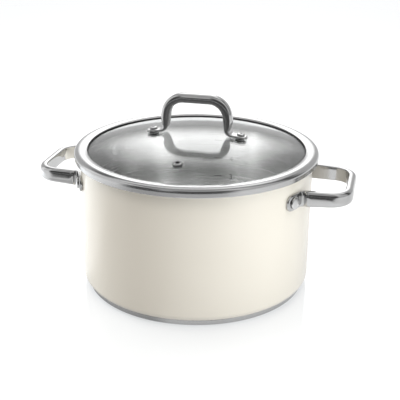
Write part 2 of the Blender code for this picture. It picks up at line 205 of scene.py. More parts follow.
# Litre scale on the inside of the wall. Its digits fill a share of their font's size.
LITRE = 0.001
SCALE_AZIMUTH = math.radians(93)
SCALE_FOOT = 0.0030
SCALE_LITRES = 5
MARK_WIDTH = 0.0090
MARK_HEIGHT = 0.0009
MARK_DEPTH = 0.00004
DIGIT_OFFSET = 0.0180
DIGIT_HEIGHT = 0.0062
DIGIT_SHARE = 0.7
MERGE = 0.000002

# Camera, fitted to the photograph.
SENSOR = 36.0
VIEW_YAW = math.radians(13.03)
VIEW_PITCH = 0.3829
VIEW_ROLL = 0.0091
VIEW_DISTANCE = 0.8432
VIEW_TURN = math.radians(13.3)
VIEW_HEIGHT = 0.4249
LENS_PER_SENSOR = 855.62 / 400


# ---- Outlines ----


def ellipse(centre, radii, start, end, count):
    """Points of an elliptical arc between two angles in degrees, both ends included."""
    angles = [math.radians(start + (end - start) * i / (count - 1)) for i in range(count)]
    return [(centre[0] + radii[0] * math.cos(a), centre[1] + radii[1] * math.sin(a)) for a in angles]


def arc(centre, radius, start, end, count):
    return ellipse(centre, (radius, radius), start, end, count)


def supported(points):
    """The same outline with a point near each end of its long runs, which keeps their shading flat."""
    made = [points[0]]
    for before, after in zip(points, points[1:]):
        run = math.dist(before, after)
        if run > 4 * SUPPORT:
            share = SUPPORT / run
            for s in (share, 1 - share):
                made.append(tuple(a + (b - a) * s for a, b in zip(before, after)))
        made.append(after)
    return made


def offset(points, distance):
    """The outline moved sideways, to the right of its direction of travel."""
    moved = []
    for i, point in enumerate(points):
        before = Vector(points[max(i - 1, 0)])
        after = Vector(points[min(i + 1, len(points) - 1)])
        first = (Vector(point) - before).normalized()
        second = (after - Vector(point)).normalized()
        along = (first + second).normalized()
        lean = max(along.dot(second if second.length else first), MITRE_LIMIT)
        side = Vector((along.y, -along.x)) * (distance / lean)
        radius = max(point[0] + side.x, 0.0) if point[0] > ON_AXIS else 0.0
        moved.append((radius, point[1] + side.y))
    return moved


def hem(start, end, count=5):
    """Points of the half circle that closes a sheet's edge, from one face to the other."""
    centre = (Vector(start) + Vector(end)) / 2
    spoke = Vector(start) - centre
    return [
        tuple(centre + Matrix.Rotation(-math.pi * i / (count + 1), 2) @ spoke)
        for i in range(1, count + 1)
    ]


def sheet_outline(points, thickness):
    """Outline of a turned sheet: its outer face down, and its inner face back up.

    An end on the axis stays open, and a free end gets a rounded edge.
    """
    inner = offset(points, thickness)
    outline = list(points)
    if points[-1][0] > ON_AXIS:
        outline += hem(points[-1], inner[-1])
    outline += inner[::-1]
    if points[0][0] > ON_AXIS:
        outline += hem(inner[0], points[0])
    return outline


# ---- Mesh building ----


def finish_mesh(name, shape, sharp=SHARP):
    bmesh.ops.recalc_face_normals(shape, faces=shape.faces)
    mesh = bpy.data.meshes.new(name)
    shape.to_mesh(mesh)
    shape.free()
    mesh.shade_smooth()
    mesh.set_sharp_from_angle(angle=sharp)
    obj = bpy.data.objects.new(name, mesh)
    bpy.context.scene.collection.objects.link(obj)
    return obj


def turned(name, outline, steps=ROUND_STEPS, seat=None, sharp=SHARP):
    """A solid turned about Z. The outline is closed, or open with both its ends on the axis."""
    shape = bmesh.new()
    rings = []
    for radius, height in outline:
        if radius < ON_AXIS:
            rings.append([shape.verts.new((0.0, 0.0, height))])
            continue
        angles = [2 * math.pi * i / steps for i in range(steps)]
        ring = [(radius * math.cos(a), radius * math.sin(a), height) for a in angles]
        rings.append([shape.verts.new(co) for co in ring])
    pairs = list(zip(rings, rings[1:]))
    if outline[0][0] > ON_AXIS:
        pairs.append((rings[-1], rings[0]))
    for upper, lower in pairs:
        if len(upper) == 1 and len(lower) == 1:
            continue
        for i in range(steps):
            j = (i + 1) % steps
            corners = [upper[i % len(upper)], lower[i % len(lower)]]
            if len(lower) > 1:
                corners.append(lower[j])
            if len(upper) > 1:
                corners.append(upper[j])
            shape.faces.new(corners)
    obj = finish_mesh(name, shape, sharp)
    if seat is not None:
        obj.data.transform(seat)
    return obj


def on_wall(angle):
    """Matrix that stands a turned piece on the pot's wall at the handles' height."""
    spot = Vector((WALL_RADIUS * math.cos(angle), WALL_RADIUS * math.sin(angle), HANDLE_HEIGHT))
    return Matrix.Translation(spot) @ Matrix.Rotation(angle, 4, "Z") @ Matrix.Rotation(math.pi / 2, 4, "Y")


def on_dome(azimuth, radius):
    """Matrix that stands a turned piece on the outer surface of the glass."""
    tilt = math.asin(radius / DOME_RADIUS)
    height = DOME_CENTRE + DOME_RADIUS * math.cos(tilt)
    spot = Vector((radius * math.cos(azimuth), radius * math.sin(azimuth), height))
    return Matrix.Translation(spot) @ Matrix.Rotation(azimuth, 4, "Z") @ Matrix.Rotation(tilt, 4, "Y")


def ready(obj, body, material, slot, *nodes):
    """Gives a piece its finish, lets it ride on its body, and hides the CAD nodes it stands for."""
    obj.data.materials.clear()
    obj.data.materials.append(material)
    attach(obj, body)
    if nodes:
        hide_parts(*nodes)
    return obj


# ---- Handles ----


def fillet(before, corner, after, radius, count):
    """Points of the arc that rounds a corner, from the first leg to the second."""
    first = (before - corner).normalized()
    second = (after - corner).normalized()
    half = first.angle(second) / 2
    reach = radius / math.tan(half)
    centre = corner + (first + second).normalized() * (radius / math.sin(half))
    start = corner + first * reach - centre
    end = corner + second * reach - centre
    turn = start.angle(end)
    points = []
    for i in range(count):
        share = i / (count - 1)
        spoke = start * math.sin((1 - share) * turn) + end * math.sin(share * turn)
        points.append(centre + spoke / math.sin(turn))
    return points


def between(start, end, count):
    """Evenly spaced points strictly between two points."""
    return [start.lerp(end, (i + 1) / (count + 1)) for i in range(count)]


def half_loop(seat_centre, seat_radius, tip, foot_side, top_side, bar, bend, corner):
    """Inner line of half a handle, as (out, side) points from the tab's tip to the bar's middle."""

    def on_seat(side):
        return Vector((seat_centre + math.sqrt(seat_radius**2 - side**2), side))

    foot = on_seat(foot_side)
    top = Vector((bar, top_side))
    middle = Vector((bar, 0.0))
    tangent = Vector((-foot_side, foot.x - seat_centre)).normalized()
    foot_arc = fillet(foot + tangent, foot, top, bend, 12)
    top_arc = fillet(foot, top, middle, corner, 20)
    width = tip - foot_arc[0].y
    shares = [1 - math.cos(math.pi / 2 * i / TAB_STEPS) for i in range(TAB_STEPS)]
    tab = [on_seat(tip - width * share) for share in shares]
    arm = between(foot_arc[-1], top_arc[0], 8)
    rest = between(top_arc[-1], middle, 8)
    return tab, foot_arc + arm + top_arc + rest + [middle]


def section(thickness, half_width, fullness, edge):
    """D-shaped outline with rounded edges on its flat side, as (depth, width) points."""
    edge = min(edge, thickness * EDGE_LIMIT)
    bulge = []
    for i in range(SECTION_STEPS + 1):
        angle = math.pi / 2 - math.pi * i / SECTION_STEPS
        depth = edge + (thickness - edge) * abs(math.cos(angle)) ** fullness
        width = half_width * math.copysign(abs(math.sin(angle)) ** fullness, angle)
        bulge.append((depth, width))
    lower = arc((edge, -half_width + edge), edge, 270, 180, EDGE_STEPS)[1:]
    upper = arc((edge, half_width - edge), edge, 180, 90, EDGE_STEPS)[:-1]
    flat = [(0.0, (half_width - edge) * s) for s in (-0.5, 0.0, 0.5)]
    return bulge + lower + flat + upper


def ease(value, start, end):
    """Share of the way from start to end, with a smooth beginning and end."""
    share = min(max((value - start) / (end - start), 0.0), 1.0)
    return share * share * (3 - 2 * share)


def swept_handle(name, tab, loop, widths, thicknesses, swells, fullness, edge, placing):
    """A whole handle, swept from one tab's tip over the bar to the other's."""
    line = tab + loop
    lengths = [0.0]
    for before, after in zip(line, line[1:]):
        lengths.append(lengths[-1] + (after - before).length)
    bend_start = lengths[len(tab)]
    half = []
    for i, point in enumerate(line):
        before = line[max(i - 1, 0)]
        after = line[min(i + 1, len(line) - 1)]
        heading = (after - before).normalized()
        if i == len(line) - 1:
            heading = Vector((0.0, -1.0))
        outward = Vector((-heading.y, heading.x))
        widened = ease(lengths[i], bend_start, bend_start + swells[0])
        thickened = ease(lengths[i], bend_start - SWELL_LEAD, bend_start + swells[1])
        half_width = widths[0] + (widths[1] - widths[0]) * widened
        thickness = thicknesses[0] + (thicknesses[1] - thicknesses[0]) * thickened
        full = fullness[0] + (fullness[1] - fullness[0]) * thickened
        nose = min(lengths[i] / half_width, 1.0)
        rounded = (1 - (1 - nose) ** TAB_NOSE_POWER) ** (1 / TAB_NOSE_POWER)
        narrow = max(rounded, TAB_LEAST_WIDTH)
        low = min(lengths[i] / (thickness * TAB_EDGE_REACH), 1.0)
        thin = max(math.sqrt(1 - (1 - low) ** 2), TAB_LEAST_THICKNESS)
        outline = section(thickness * thin, half_width * narrow, full, edge)
        half.append([(*(point + outward * depth), width) for depth, width in outline])
    other = [[(out, -side, width) for out, side, width in ring] for ring in half[-2::-1]]
    shape = bmesh.new()
    rings = [[shape.verts.new(co) for co in ring] for ring in half + other]
    for first, second in zip(rings, rings[1:]):
        for i in range(len(first)):
            j = (i + 1) % len(first)
            shape.faces.new((first[i], first[j], second[j], second[i]))
    shape.faces.new(rings[0][::-1])
    shape.faces.new(rings[-1])
    bmesh.ops.transform(shape, matrix=placing, verts=shape.verts)
    return finish_mesh(name, shape, HANDLE_SHARP)


# ---- Finishes ----

# How much lighter the light parts of a steel are than its dark ones.
SATIN_CONTRAST = 0.016
POLISH_CONTRAST = 0.04


class Finish:
    """A material around one Principled shader, with short calls for its texture nodes."""

    def __init__(self, name, **values):
        self.material = bpy.data.materials.new(name)
        self.material.use_nodes = True
        self.nodes = self.material.node_tree.nodes
        self.shader = self.nodes["Principled BSDF"]
        for socket, value in values.items():
            label = socket.replace("_", " ").title().replace("Ior", "IOR")
            self.shader.inputs[label].default_value = value
        self.coords = self.nodes.new("ShaderNodeTexCoord").outputs["Object"]

    def link(self, source, target):
        self.material.node_tree.links.new(source, target)

    def vector(self, operation, first, second=None):
        node = self.nodes.new("ShaderNodeVectorMath")
        node.operation = operation
        for socket, value in zip(node.inputs, (first, second)):
            if value is None:
                continue
            if isinstance(value, bpy.types.NodeSocket):
                self.link(value, socket)
            else:
                socket.default_value = value
        return node.outputs["Vector"]

    def noise(self, scale, coords=None, detail=3.0, roughness=0.55):
        node = self.nodes.new("ShaderNodeTexNoise")
        node.inputs["Scale"].default_value = scale
        node.inputs["Detail"].default_value = detail
        node.inputs["Roughness"].default_value = roughness
        self.link(coords or self.coords, node.inputs["Vector"])
        return node.outputs["Fac"]

    def spread(self, source, low, high, start=0.3, end=0.7):
        """The source's middle range stretched to run from low to high."""
        node = self.nodes.new("ShaderNodeMapRange")
        for socket, value in zip(node.inputs[1:5], (start, end, low, high)):
            socket.default_value = value
        self.link(source, node.inputs["Value"])
        return node.outputs["Result"]

    def tint(self, source, dark, light, start=0.3, end=0.7):
        node = self.nodes.new("ShaderNodeValToRGB")
        for element, place, colour in zip(node.color_ramp.elements, (start, end), (dark, light)):
            element.position = place
            element.color = (*colour, 1.0)
        self.link(source, node.inputs["Fac"])
        self.link(node.outputs["Color"], self.shader.inputs["Base Color"])

    def rough(self, source, low, high):
        self.link(self.spread(source, low, high), self.shader.inputs["Roughness"])

    def bump(self, source, depth, strength=1.0):
        node = self.nodes.new("ShaderNodeBump")
        node.inputs["Strength"].default_value = strength
        node.inputs["Distance"].default_value = depth
        self.link(source, node.inputs["Height"])
        previous = self.shader.inputs["Normal"].links
        if previous:
            self.link(previous[0].from_socket, node.inputs["Normal"])
        self.link(node.outputs["Normal"], self.shader.inputs["Normal"])

    def around_axis(self, turns, lines):
        """Coordinates that change slowly round the Z axis and fast along the turned outline."""
        flat = self.vector("MULTIPLY", self.coords, (1.0, 1.0, 0.0))
        spoke = self.vector("NORMALIZE", flat)
        length = self.nodes.new("ShaderNodeVectorMath")
        length.operation = "LENGTH"
        self.link(flat, length.inputs[0])
        split = self.nodes.new("ShaderNodeSeparateXYZ")
        self.link(self.coords, split.inputs[0])
        total = self.nodes.new("ShaderNodeMath")
        total.operation = "ADD"
        self.link(length.outputs["Value"], total.inputs[0])
        self.link(split.outputs["Z"], total.inputs[1])
        join = self.nodes.new("ShaderNodeCombineXYZ")
        self.link(total.outputs[0], join.inputs["Z"])
        slow = self.vector("MULTIPLY", spoke, (turns, turns, 0.0))
        fast = self.vector("MULTIPLY", join.outputs[0], (0.0, 0.0, lines))
        return self.vector("ADD", slow, fast)

    def brushed_round(self):
        """Points the anisotropic highlight across brushing that runs round the Z axis."""
        tangent = self.nodes.new("ShaderNodeTangent")
        tangent.direction_type = "RADIAL"
        tangent.axis = "Z"
        self.link(tangent.outputs[0], self.shader.inputs["Tangent"])


def enamel_finish():
    """Cream enamel: glossy, with a faint orange peel and a slow change of tone."""
    finish = Finish("cream_enamel", ior=1.5, coat_weight=0.35, coat_roughness=0.05)
    finish.tint(finish.noise(9.0, detail=2.0), (0.640, 0.594, 0.515), (0.662, 0.616, 0.537))
    finish.rough(finish.noise(60.0), 0.15, 0.21)
    finish.bump(finish.noise(420.0, detail=2.0), 0.00003, 0.35)
    return finish.material


def satin_steel_finish(name, level):
    """Stainless steel brushed round the axis, for the pot's inside, its lip and a washer, and in a darker
    copy with painted shade for the base.
    """
    finish = Finish(name, metallic=1.0, anisotropic=0.9, anisotropic_rotation=0.25)
    lines = finish.noise(1.0, finish.around_axis(2.5, 6000.0), detail=4.0, roughness=0.6)
    dark = (level, level - 0.002, level - 0.006)
    finish.tint(lines, dark, tuple(value + SATIN_CONTRAST for value in dark))
    finish.rough(finish.noise(1.0, finish.around_axis(1.5, 900.0)), 0.265, 0.275)
    finish.brushed_round()
    return finish.material


def band_steel_finish():
    """Finely polished rim steel with a trace of turning lines."""
    finish = Finish("rim_steel", metallic=1.0, anisotropic=0.3, anisotropic_rotation=0.25)
    lines = finish.noise(1.0, finish.around_axis(3.0, 6000.0), detail=3.0)
    finish.tint(lines, (0.500, 0.500, 0.500), (0.540, 0.540, 0.542))
    finish.rough(finish.noise(1.0, finish.around_axis(2.0, 500.0)), 0.17, 0.23)
    finish.bump(lines, 0.000001, 0.8)
    finish.brushed_round()
    return finish.material


def polished_steel_finish(name, level, low, high):
    """Polished forged steel of a tone, with soft waviness and fine wear marks in the gloss."""
    finish = Finish(name, metallic=1.0)
    stretched = finish.vector("MULTIPLY", finish.coords, (160.0, 160.0, 1500.0))
    wear = finish.noise(1.0, stretched, detail=4.0, roughness=0.65)
    light = level + POLISH_CONTRAST
    finish.tint(finish.noise(40.0), (level, level, level + 0.002), (light, light, light - 0.002))
    finish.rough(wear, low, high)
    finish.bump(finish.noise(55.0, detail=1.0), 0.00006, 0.25)
    finish.bump(wear, 0.000006, 0.3)
    return finish.material


def aluminium_finish():
    """Turned aluminium of the base core."""
    finish = Finish("core_aluminium", metallic=1.0)
    lines = finish.noise(1.0, finish.around_axis(5.0, 1500.0))
    finish.tint(lines, (0.70, 0.71, 0.72), (0.80, 0.81, 0.82))
    finish.rough(lines, 0.35, 0.50)
    finish.bump(lines, 0.00003, 0.5)
    return finish.material


def glass_finish():
    """Clear tempered glass with a trace of green and the slight waviness of pressed glass."""
    finish = Finish("clear_glass", transmission_weight=1.0, ior=1.5, roughness=0.0)
    finish.tint(finish.noise(12.0, detail=1.0), (0.955, 0.975, 0.968), (0.965, 0.982, 0.976))
    finish.bump(finish.noise(14.0, detail=1.0), 0.00025, 0.06)
    return finish.material


def silicone_finish():
    """Matt silicone, nearly black as in the photograph, with a fine grain."""
    finish = Finish("dark_silicone", ior=1.42)
    grain = finish.noise(1400.0, detail=2.0)
    finish.tint(finish.noise(70.0), (0.030, 0.030, 0.031), (0.042, 0.042, 0.043))
    finish.rough(grain, 0.42, 0.58)
    finish.bump(grain, 0.00003, 0.5)
    return finish.material


def etched_finish():
    """Dark etching of the litre scale, slightly uneven as laser marks are."""
    finish = Finish("etched_marks", metallic=0.6)
    grain = finish.noise(2500.0, detail=2.0)
    finish.tint(grain, (0.055, 0.055, 0.058), (0.105, 0.105, 0.108))
    finish.rough(grain, 0.45, 0.62)
    finish.bump(grain, 0.00001, 0.5)
    return finish.material


# ---- Pot ----


def flare_geometry():
    """Centre and radius of the arc that turns the wall out into the lip."""
    radius = (LIP_RADIUS - WALL_RADIUS) / (1 - math.cos(LIP_TURN))
    height = LIP_TOP - radius * math.sin(LIP_TURN) - WALL * math.sin(LIP_TURN)
    return (WALL_RADIUS + radius, height), radius


def wall_outline(turn, corner_end):
    """The pot's outer surface, from an angle of the lip's flare down to an angle of the corner."""
    centre, radius = flare_geometry()
    lip = arc(centre, radius, 180 - math.degrees(turn), 180, 18)
    foot = (WALL_RADIUS - CORNER, SHELL_BOTTOM + CORNER)
    return lip + arc(foot, CORNER, 0, -corner_end, 18)


def build_shell(steel, enamel):
    bare = wall_outline(LIP_TURN, 90) + [(0.0, SHELL_BOTTOM)]
    shell = turned("pot_shell", sheet_outline(supported(offset(bare, COAT)), WALL - COAT))
    ready(shell, "pot", steel, "satin_steel", "pot_body")
    coat = supported(wall_outline(COAT_START, COAT_END))
    coat_piece = turned("enamel_coat", sheet_outline(coat, COAT - COAT_GAP))
    ready(coat_piece, "pot", enamel, "cream_enamel", "pot_body")


def build_base(steel, aluminium):
    corner = arc((CAP_FOOT_RADIUS, CAP_CORNER), CAP_CORNER, -8, -90, 10)
    pitch = CAP_FOOT_RADIUS / (CAP_RINGS + 1)
    grooves = []
    for i in range(CAP_RINGS, 0, -1):
        groove = arc((i * pitch, 0.0), CAP_RING_DEPTH * CAP_RING_SPREAD, 0, 180, 7)
        grooves += [(r, z / CAP_RING_SPREAD) for r, z in groove]
    outline = [(CAP_RIM_RADIUS, CAP_TOP)] + corner + grooves + [(0.0, 0.0)]
    # The cap wears the darker copy of the satin steel, whose lower tone is painted shade.
    cap = turned("capsule_cap", sheet_outline(supported(outline), CAP_SHEET))
    ready(cap, "pot", steel, "satin_steel", "base_cap")
    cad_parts["base_core"].data.materials[0] = aluminium


def head_outline(base, height, radius, shank):
    """A domed rivet head with a rolled edge, from its apex to the shank under it."""
    edge = height * HEAD_EDGE
    crown = ellipse((0.0, base + edge), (radius, height - edge), 90, 12, 16)
    roll = [(radius, base + edge * 0.8), (radius, base + edge * 0.3), (radius * 0.985, base)]
    return crown + roll + [(shank, base)]


def build_wall_rivets(steel):
    outer = head_outline(2 * GAP + TAB_THICKNESS, RIVET_HEAD_HEIGHT, RIVET_HEAD, RIVET_SHANK)
    inner_base = WALL + 2 * GAP
    inner = head_outline(inner_base, RIVET_INNER_HEIGHT, RIVET_INNER_HEAD, RIVET_SHANK)
    outline = outer + [(r, -z) for r, z in reversed(inner)]
    for side, turn in (("right", 0.0), ("left", math.pi)):
        for end, front in (("front", -1), ("rear", 1)):
            angle = turn + front * RIVET_ANGLE * math.copysign(1, math.cos(turn))
            rivet = turned(f"wall_rivet_{side}_{end}", outline, SMALL_STEPS, on_wall(angle))
            ready(rivet, "pot", steel, "polished_steel", f"rivet_{side}_{end}")


def build_side_handles(steel):
    tab, loop = half_loop(
        seat_centre=0.0,
        seat_radius=WALL_RADIUS + GAP,
        tip=WALL_RADIUS * math.sin(TAB_TIP),
        foot_side=HANDLE_FOOT,
        top_side=HANDLE_TOP,
        bar=HANDLE_BAR,
        bend=HANDLE_BEND,
        corner=HANDLE_CORNER,
    )
    lift = Matrix.Translation((0.0, 0.0, HANDLE_HEIGHT))
    for side, turn in (("right", 0.0), ("left", math.pi)):
        handle = swept_handle(
            f"side_handle_{side}",
            tab,
            loop,
            (TAB_HALF_WIDTH, HANDLE_HALF_WIDTH),
            (TAB_THICKNESS, HANDLE_THICKNESS),
            (HANDLE_TAPER, HANDLE_SWELL),
            HANDLE_FULLNESS,
            HANDLE_EDGE,
            lift @ Matrix.Rotation(turn, 4, "Z"),
        )
        ready(handle, "pot", steel, "polished_steel", f"{side}_handle")


def scale_height(litres):
    """Height above the ground of a litre mark."""
    inside = WALL_RADIUS - WALL
    return SCALE_FOOT + litres * LITRE / (math.pi * inside**2)


def onto_wall(mesh, across, height):
    """Bends a flat mesh in the XY plane onto the inside of the wall at the scale's azimuth."""
    inside = WALL_RADIUS - WALL - MARK_DEPTH / 2
    for vertex in mesh.vertices:
        x, y, depth = vertex.co
        angle = SCALE_AZIMUTH - (x + across) / inside
        radius = inside - depth
        vertex.co = (radius * math.cos(angle), radius * math.sin(angle), y + height)


def flat_bar(width):
    """A thin bar of the scale, cut into short lengths so that it can bend."""
    shape = bmesh.new()
    bmesh.ops.create_cube(shape, size=1.0)
    bmesh.ops.scale(shape, vec=(width, MARK_HEIGHT, MARK_DEPTH), verts=shape.verts)
    along = [e for e in shape.edges if abs(e.verts[0].co.x - e.verts[1].co.x) > width / 2]
    bmesh.ops.subdivide_edges(shape, edges=along, cuts=7, use_grid_fill=True)
    mesh = bpy.data.meshes.new("bar")
    shape.to_mesh(mesh)
    shape.free()
    return mesh


def digit(number):
    """A numeral of the scale as a thin solid."""
    curve = bpy.data.curves.new("digit", "FONT")
    curve.body = str(number)
    curve.size = DIGIT_HEIGHT / DIGIT_SHARE
    curve.extrude = MARK_DEPTH / 2
    curve.align_y = "CENTER"
    curve.resolution_u = 6
    obj = bpy.data.objects.new("digit", curve)
    bpy.context.scene.collection.objects.link(obj)
    graph = bpy.context.evaluated_depsgraph_get()
    mesh = bpy.data.meshes.new_from_object(obj.evaluated_get(graph))
    bpy.data.objects.remove(obj)
    bpy.data.curves.remove(curve)
    return mesh


def build_scale(etched):
    """Litre marks inside the wall: a bar and a numeral for each litre."""
    shape = bmesh.new()
    for litres in range(1, SCALE_LITRES + 1):
        pieces = ((flat_bar(MARK_WIDTH), MARK_WIDTH / 2), (digit(litres), DIGIT_OFFSET))
        for mesh, across in pieces:
            onto_wall(mesh, across, scale_height(litres))
            shape.from_mesh(mesh)
            bpy.data.meshes.remove(mesh)
    bmesh.ops.remove_doubles(shape, verts=shape.verts, dist=MERGE)
    ready(finish_mesh("litre_scale", shape), "pot", etched, None)


# ---- Lid ----


def dome_outline():
    """Upper face of the glass, from its middle to its flat edge."""
    last = math.asin(GLASS_DOME_EDGE / DOME_RADIUS)
    dome = [(0.0, GLASS_TOP)]
    for step in range(1, DOME_STEPS):
        angle = last * step / DOME_STEPS
        if DOME_RADIUS * math.sin(angle) > GLASS_DOME_EDGE - GLASS_EASE:
            break
        dome.append((DOME_RADIUS * math.sin(angle), DOME_CENTRE + DOME_RADIUS * math.cos(angle)))
    start = Vector(dome[-1])
    end = Vector((GLASS_DOME_EDGE + GLASS_EASE, GLASS_FLAT))
    slope = math.tan(math.asin(start.x / DOME_RADIUS))
    knee = Vector((start.x + (start.y - GLASS_FLAT) / slope, GLASS_FLAT))
    for i in range(1, EASE_STEPS + 1):
        t = i / EASE_STEPS
        spot = start * (1 - t) ** 2 + knee * 2 * t * (1 - t) + end * t * t
        dome.append(tuple(spot))
    return dome


def glass_outline():
    """The whole outline of the glass, with a ground and rounded edge."""
    upper = dome_outline()
    lower = offset(upper, GLASS_THICKNESS)
    inset = GLASS_RADIUS - GLASS_EDGE_ROUND
    top = arc((inset, GLASS_FLAT - GLASS_EDGE_ROUND), GLASS_EDGE_ROUND, 90, 0, 8)
    low_height = GLASS_FLAT - GLASS_THICKNESS + GLASS_EDGE_ROUND
    bottom = arc((inset, low_height), GLASS_EDGE_ROUND, 0, -90, 8)
    return supported(upper + top + bottom + lower[::-1])


def drill(obj, name, seat):
    """Cuts a round hole where a turned piece passes through the glass."""
    length = 4 * GLASS_THICKNESS
    outline = [(0.0, length), (GLASS_HOLE, length), (GLASS_HOLE, -length), (0.0, -length)]
    rod = turned(name, outline, SMALL_STEPS, seat)
    hole = obj.modifiers.new("Hole", "BOOLEAN")
    hole.object = rod
    hole.operation = "DIFFERENCE"
    graph = bpy.context.evaluated_depsgraph_get()
    mesh = bpy.data.meshes.new_from_object(obj.evaluated_get(graph))
    obj.modifiers.clear()
    obj.data = mesh
    bpy.data.objects.remove(rod)


def restore_dome_shading(mesh):
    """Gives the dome's corners their exact normals, which the holes' odd-shaped faces would spoil.

    A face belongs to the dome when its own normal runs nearly the same way.
    """
    centre = Vector((0.0, 0.0, DOME_CENTRE))
    limit = GLASS_DOME_EDGE - 2 * GLASS_EASE
    same_way = 0.98
    normals = [Vector(n.vector) for n in mesh.corner_normals]
    for face in mesh.polygons:
        for corner in face.loop_indices:
            spot = mesh.vertices[mesh.loops[corner].vertex_index].co
            exact = (spot - centre).normalized()
            facing = face.normal.dot(exact)
            if math.hypot(spot.x, spot.y) < limit and abs(facing) > same_way:
                normals[corner] = exact * math.copysign(1.0, facing)
    mesh.normals_split_custom_set([tuple(n) for n in normals])


def build_glass(glass):
    dome = turned("dome_glass", glass_outline())
    seats = [on_dome(0.0, LID_RIVET_X), on_dome(math.pi, LID_RIVET_X), on_dome(-math.pi / 2, VENT_Y)]
    for i, seat in enumerate(seats):
        drill(dome, f"drill_{i}", seat)
    dome.data.shade_smooth()
    dome.data.set_sharp_from_angle(angle=SHARP)
    restore_dome_shading(dome.data)
    ready(dome, "lid", glass, "clear_glass", "lid_glass")


def band_outline():
    """Outer face of the rim band, from its inner lip round to the foot of the skirt."""
    run = BAND_CROWN_RADIUS - BAND_LIP_RADIUS
    top = []
    for i in range(9):
        x = 1 - i / 8
        top.append((BAND_CROWN_RADIUS - run * x, BAND_TOP - BAND_LIP_DROP * x * x))
    shoulder = []
    for x, y in ellipse((0.0, 0.0), (1.0, 1.0), 90, 0, 25)[1:]:
        across = (BAND_RADIUS - BAND_CROWN_RADIUS) * max(x, 0.0) ** BAND_FULLNESS
        up = (BAND_TOP - BAND_WIDEST) * max(y, 0.0) ** BAND_FULLNESS
        shoulder.append((BAND_CROWN_RADIUS + across, BAND_WIDEST + up))
    roll_radius = BAND_RADIUS - BAND_LEAN - BAND_ROLL
    roll = arc((roll_radius, BAND_EDGE + BAND_ROLL), BAND_ROLL, -2, -180, 16)
    inner_corner = (roll_radius - 2 * BAND_ROLL, BAND_UNDERSIDE - BAND_ROLL)
    roll += arc(inner_corner, BAND_ROLL, 0, 90, 8)
    bend_centre = (SKIRT_RADIUS + SKIRT_BEND, BAND_UNDERSIDE - SKIRT_BEND)
    bend = arc(bend_centre, SKIRT_BEND, 90, 180, 9)
    return top + shoulder + roll + bend + [(SKIRT_RADIUS, SKIRT_BOTTOM)]


def gasket_outline():
    """Channel round the glass edge, with a bead that covers the inner edge of the band."""
    lip_low = GLASS_FLAT + THIN_GAP / 2
    lip_high = GLASS_FLAT + THIN_GAP + GASKET_LIP
    bead = BAND_LIP_RADIUS - BAND_SHEET / 2 - BEAD_GAP
    bead_top = BAND_TOP - BAND_LIP_DROP - BEAD_DROP
    low_high = GLASS_FLAT - GLASS_THICKNESS - THIN_GAP / 2
    low_low = BAND_UNDERSIDE + BAND_SHEET + THIN_GAP / 2
    groove = GLASS_RADIUS + GAP / 2
    return [
        (GASKET_INNER - GASKET_BEVEL, bead_top - GASKET_BEVEL),
        (GASKET_INNER, bead_top),
        (bead, bead_top),
        (bead, lip_high),
        (GASKET_OUTER, lip_high),
        (GASKET_OUTER, low_low),
        (GASKET_LOWER, low_low),
        (GASKET_LOWER, low_high),
        (groove, low_high),
        (groove, lip_low),
        (GASKET_INNER - GASKET_BEVEL, lip_low),
    ]


def build_rim(steel, silicone):
    band = turned("rim_band", sheet_outline(supported(band_outline()), BAND_SHEET))
    ready(band, "lid", steel, "polished_steel", "lid_rim_band")
    gasket = turned("rim_gasket", gasket_outline())
    ready(gasket, "lid", silicone, "grey_silicone", "lid_rim_gasket")


def foot_height():
    """Height of the lid handle's feet over the glass: one washer with a gap on each side."""
    return 2 * GAP + WASHER_THICKNESS


def lid_rivet_outline():
    """A rivet of the lid handle: a dimpled head, its shank, and the domed tail under the glass."""
    base = foot_height() + LID_TAB_THICKNESS + GAP
    apex = base + LID_RIVET_HEAD_HEIGHT
    floor = apex - LID_RIVET_DIMPLE_DEPTH
    tail = -(GLASS_THICKNESS + 2 * (GAP + WASHER_THICKNESS) + GAP)
    edge = LID_RIVET_HEAD_HEIGHT * HEAD_EDGE
    dimple = [(0.0, floor)]
    dimple_radii = (LID_RIVET_DIMPLE * 0.4, apex - floor)
    dimple += ellipse((LID_RIVET_DIMPLE - dimple_radii[0], apex), dimple_radii, -90, -15, 8)
    inset = LID_RIVET_DIMPLE * 1.15
    crown_radii = (LID_RIVET_HEAD - inset, LID_RIVET_HEAD_HEIGHT - edge)
    crown = ellipse((inset, base + edge), crown_radii, 90, 0, 16)
    shank = [(LID_RIVET_HEAD, base), (LID_RIVET_SHANK, base), (LID_RIVET_SHANK, tail)]
    return dimple + crown + shank + ellipse((0.0, tail), (LID_TAIL, -LID_TAIL_HEIGHT), 0, 90, 12)


def washer_outline(bottom, thickness, bore, radius):
    """A flat ring with softened edges."""
    soft = min(thickness * EDGE_LIMIT, WASHER_SOFTNESS)
    top = bottom + thickness
    return (
        arc((bore + soft, top - soft), soft, 180, 90, 4)
        + arc((radius - soft, top - soft), soft, 90, 0, 4)
        + arc((radius - soft, bottom + soft), soft, 0, -90, 4)
        + arc((bore + soft, bottom + soft), soft, -90, -180, 4)
    )


